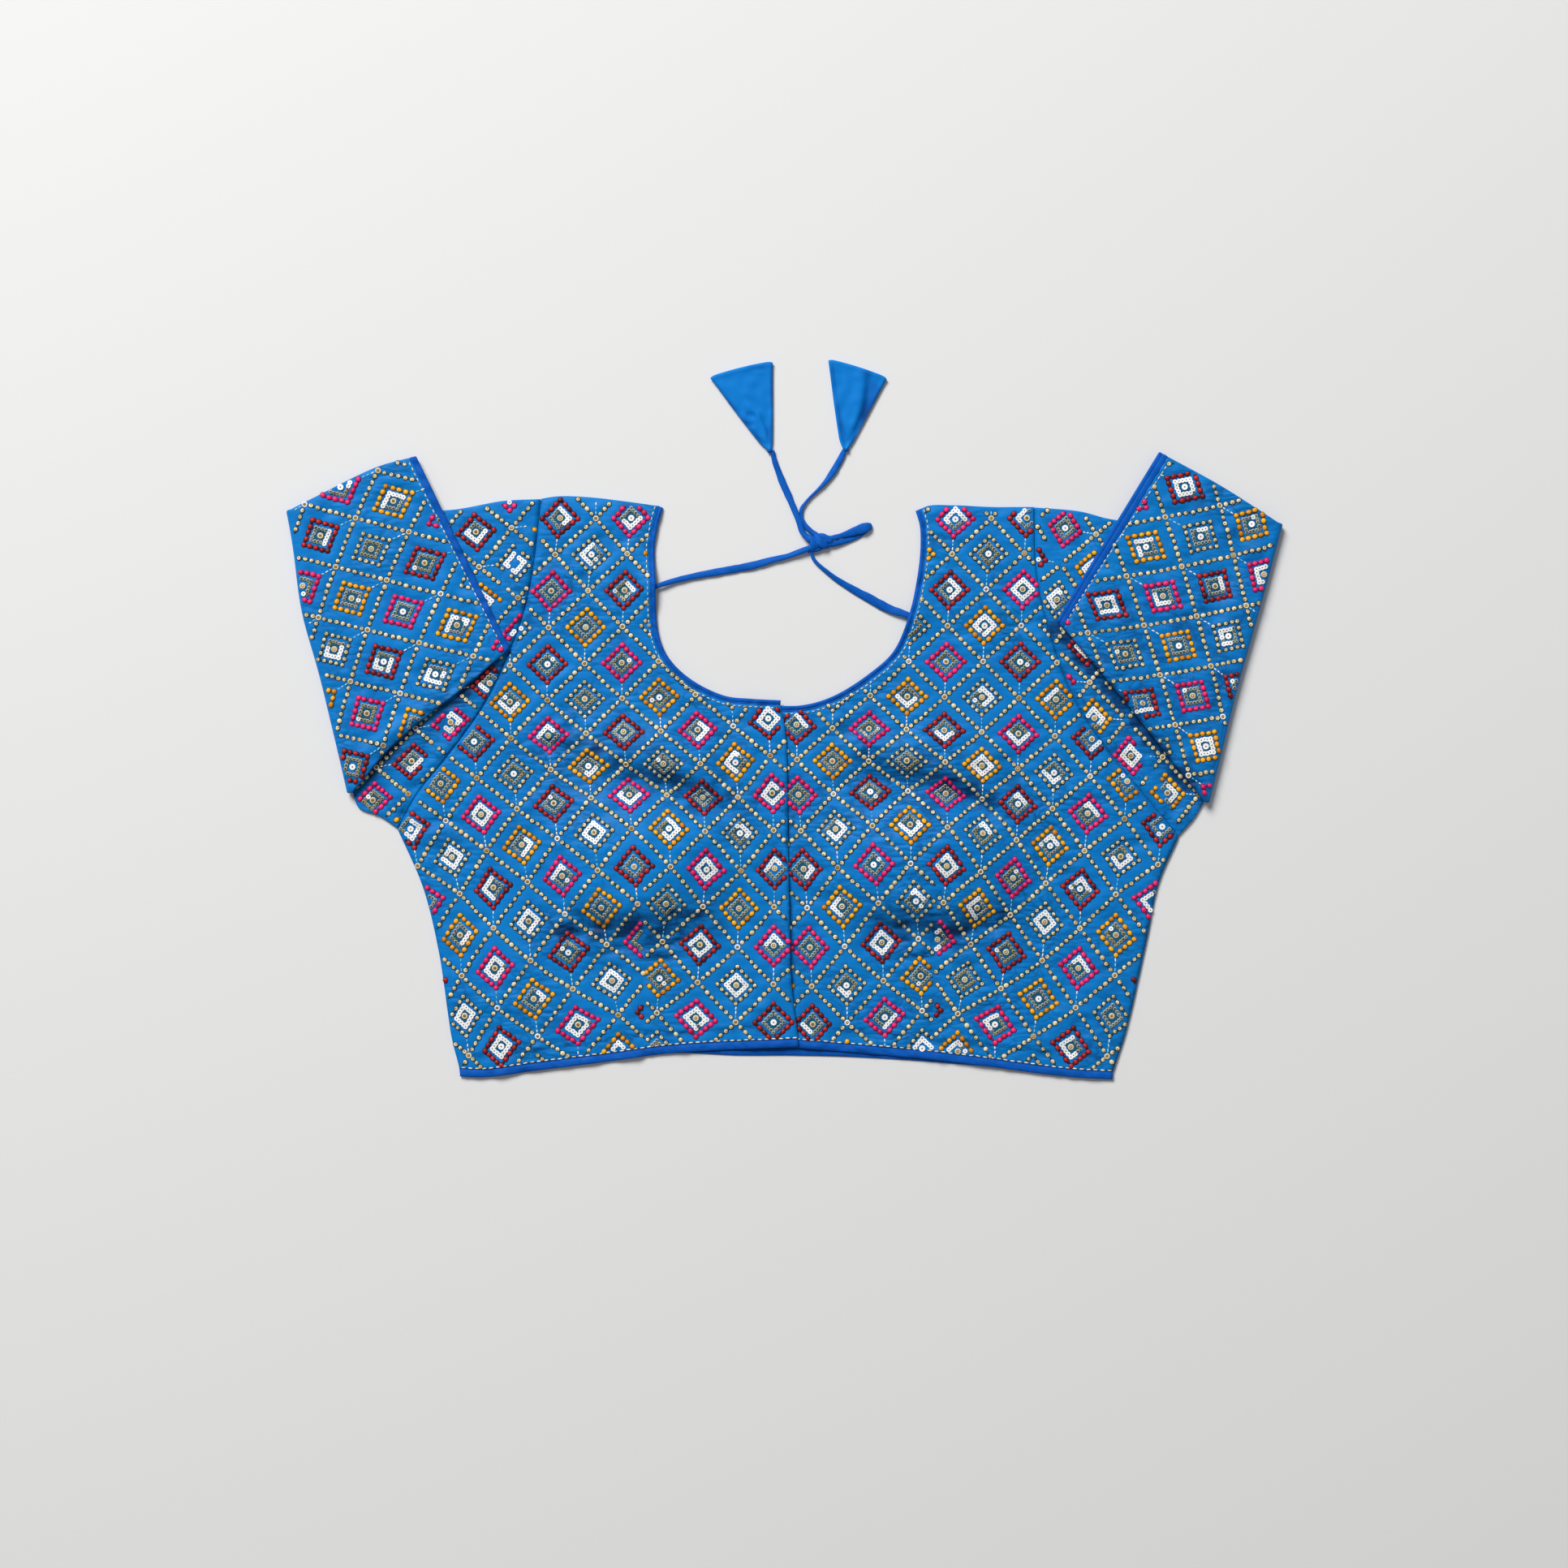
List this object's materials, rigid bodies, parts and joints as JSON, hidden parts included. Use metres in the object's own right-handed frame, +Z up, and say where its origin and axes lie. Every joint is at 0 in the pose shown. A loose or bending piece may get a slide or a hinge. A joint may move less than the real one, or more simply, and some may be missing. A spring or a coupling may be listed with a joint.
{
  "type": "choli blouse",
  "caption": "Cropped choli blouse laid flat, with folded elbow sleeves, a centre-front opening, deep round neck and tied back cord with folded cloth end pieces.",
  "frame": {"origin": "middle of the blouse's footprint, without its tie, on the surface it lies on", "axes": "+X across the blouse to the viewer's right, +Y from the hem towards the neck, +Z up from the surface"},
  "size_m": [0.6518, 0.4721, 0.0147],
  "materials": {
    "embroidered_cloth": "plain-woven silk-look cloth with a soft sheen, thread and sequin embroidery",
    "binding_cloth": "plain matt bias binding and rolled cord",
    "satin_cloth": "plain satin with a soft sheen"
  },
  "bodies": {
    "root": {"back_panel": "embroidered_cloth", "front_left": "embroidered_cloth", "front_right": "embroidered_cloth", "sleeve_left": "embroidered_cloth", "sleeve_right": "embroidered_cloth", "neck_binding_left": "binding_cloth", "neck_binding_right": "binding_cloth", "neck_binding_back": "binding_cloth", "hem_binding_left": "binding_cloth", "hem_binding_right": "binding_cloth", "hem_binding_back": "binding_cloth", "cuff_binding_left": "binding_cloth", "cuff_binding_right": "binding_cloth", "dori_left": "binding_cloth", "dori_right": "binding_cloth", "bow_loop": "binding_cloth", "tail_left": "binding_cloth", "tail_right": "binding_cloth", "knot": "binding_cloth", "latkan_left": "satin_cloth", "latkan_right": "satin_cloth"}
  },
  "joints": []
}
